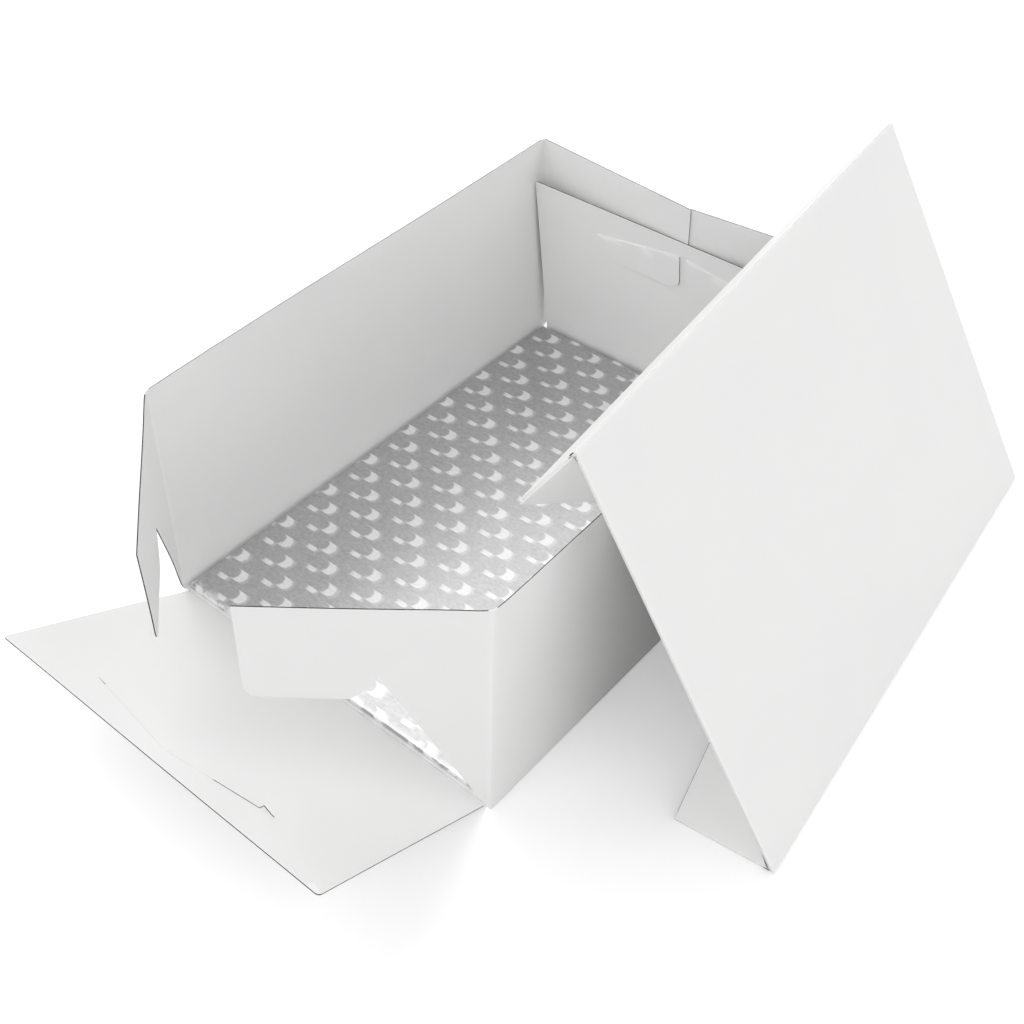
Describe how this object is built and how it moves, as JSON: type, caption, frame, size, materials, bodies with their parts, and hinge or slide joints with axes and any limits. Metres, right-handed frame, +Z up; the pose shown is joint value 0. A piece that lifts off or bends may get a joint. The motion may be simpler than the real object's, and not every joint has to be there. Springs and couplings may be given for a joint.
{
  "type": "cake box",
  "caption": "Open white boxboard cake box with tab-locked end, hinged end panel and flaps, foil-covered cake board, and a half-folded tray lid leaning on one side.",
  "frame": {"origin": "centre of the underside of the base, between its creases", "axes": "+Z up, +Y towards the locked rear end, +X towards the side the lid leans on"},
  "size_m": [0.3852, 0.534, 0.2266],
  "materials": {
    "boxboard": "matte clay-coated white boxboard",
    "grey_board": "matte grey board",
    "silver_foil": "embossed silver foil",
    "backing_paper": "matte white paper"
  },
  "bodies": {
    "base": {"base_bottom_panel": "boxboard", "base_left_wall": "boxboard", "base_right_wall": "boxboard", "base_rear_left_flap": "boxboard", "base_rear_right_flap": "boxboard", "base_rear_end_panel": "boxboard"},
    "front_panel": {"base_front_end_panel": "boxboard"},
    "front_left_flap": {"base_front_left_flap": "boxboard"},
    "front_right_flap": {"base_front_right_flap": "boxboard"},
    "cake_board": {"cake_board_core": "grey_board", "cake_board_foil": "silver_foil", "cake_board_paper": "backing_paper"},
    "lid": {"lid_top_panel": "boxboard"},
    "lid_upper_rim": {"lid_upper_long_rim": "boxboard"},
    "lid_lower_rim": {"lid_lower_long_rim": "boxboard"},
    "lid_front_rim": {"lid_front_short_rim": "boxboard"},
    "lid_rear_rim": {"lid_rear_short_rim": "boxboard"},
    "lid_front_upper_web": {"lid_front_upper_web": "boxboard", "lid_front_upper_glue_tab": "boxboard"},
    "lid_front_lower_web": {"lid_front_lower_web": "boxboard", "lid_front_lower_glue_tab": "boxboard"},
    "lid_rear_upper_web": {"lid_rear_upper_web": "boxboard", "lid_rear_upper_glue_tab": "boxboard"},
    "lid_rear_lower_web": {"lid_rear_lower_web": "boxboard", "lid_rear_lower_glue_tab": "boxboard"}
  },
  "joints": [
    {"name": "front_panel_fold", "type": "hinge", "parent": "base", "child": "front_panel", "pos_m": [0, -0.1747, 0.0003], "axis": [-1, 0, 0], "range_deg": [-26.7, 22]},
    {"name": "front_left_flap_fold", "type": "hinge", "parent": "base", "child": "front_left_flap", "pos_m": [-0.1247, -0.1754, 0], "axis": [-0.0314, 0, -0.9995], "range_deg": [-41, 139]},
    {"name": "front_right_flap_fold", "type": "hinge", "parent": "base", "child": "front_right_flap", "pos_m": [0.1247, -0.1754, 0], "axis": [0.0419, 0, 0.9991], "range_deg": [-39, 141]},
    {"name": "cake_board_tip", "type": "hinge", "parent": "base", "child": "cake_board", "pos_m": [0.001, 0.1715, 0.0006], "axis": [-1, 0, 0], "range_deg": [0, 12]},
    {"name": "lid_lift", "type": "slide", "parent": "base", "child": "lid", "axis": [0.8745, 0.095, 0.4756], "range_m": [0, 0.25]},
    {"name": "lid_upper_rim_fold", "type": "hinge", "parent": "lid", "child": "lid_upper_rim", "pos_m": [0.11873, 0.05096, 0.22584], "axis": [0.108, -0.9942, 0], "range_deg": [0, 20]},
    {"name": "lid_lower_rim_fold", "type": "hinge", "parent": "lid", "child": "lid_lower_rim", "pos_m": [0.23996, 0.06413, 0.0003], "axis": [-0.108, 0.9942, 0], "range_deg": [0, 20.5]},
    {"name": "lid_front_rim_fold", "type": "hinge", "parent": "lid", "child": "lid_front_rim", "pos_m": [0.19854, -0.11911, 0.11307], "axis": [0.4728, 0.0514, -0.8797], "range_deg": [0, 16.9]},
    {"name": "lid_rear_rim_fold", "type": "hinge", "parent": "lid", "child": "lid_rear_rim", "pos_m": [0.16016, 0.23421, 0.11307], "axis": [-0.4728, -0.0514, 0.8797], "range_deg": [0, 16.9]},
    {"name": "lid_front_upper_web_fold", "type": "hinge", "parent": "lid_upper_rim", "child": "lid_front_upper_web", "pos_m": [0.13816, -0.12477, 0.22562], "axis": [0.5444, 0.0591, 0.8368], "range_deg": [0, 16.9]},
    {"name": "lid_front_lower_web_fold", "type": "hinge", "parent": "lid_lower_rim", "child": "lid_front_lower_web", "pos_m": [0.25906, -0.11163, 0.0007], "axis": [-0.9942, -0.108, 0], "range_deg": [0, 16.9]},
    {"name": "lid_rear_upper_web_fold", "type": "hinge", "parent": "lid_upper_rim", "child": "lid_rear_upper_web", "pos_m": [0.09997, 0.22676, 0.22562], "axis": [-0.5444, -0.0591, -0.8368], "range_deg": [0, 16.9]},
    {"name": "lid_rear_lower_web_fold", "type": "hinge", "parent": "lid_lower_rim", "child": "lid_rear_lower_web", "pos_m": [0.22087, 0.2399, 0.0007], "axis": [0.9942, 0.108, 0], "range_deg": [0, 16.9]}
  ],
  "couplings": [
    {"joint": "lid_lower_rim_fold", "follows": "lid_upper_rim_fold", "ratio": 1},
    {"joint": "lid_front_rim_fold", "follows": "lid_upper_rim_fold", "ratio": 0.82},
    {"joint": "lid_rear_rim_fold", "follows": "lid_upper_rim_fold", "ratio": 0.82},
    {"joint": "lid_front_upper_web_fold", "follows": "lid_upper_rim_fold", "ratio": 0.82},
    {"joint": "lid_front_lower_web_fold", "follows": "lid_upper_rim_fold", "ratio": 0.82},
    {"joint": "lid_rear_upper_web_fold", "follows": "lid_upper_rim_fold", "ratio": 0.82},
    {"joint": "lid_rear_lower_web_fold", "follows": "lid_upper_rim_fold", "ratio": 0.82}
  ]
}
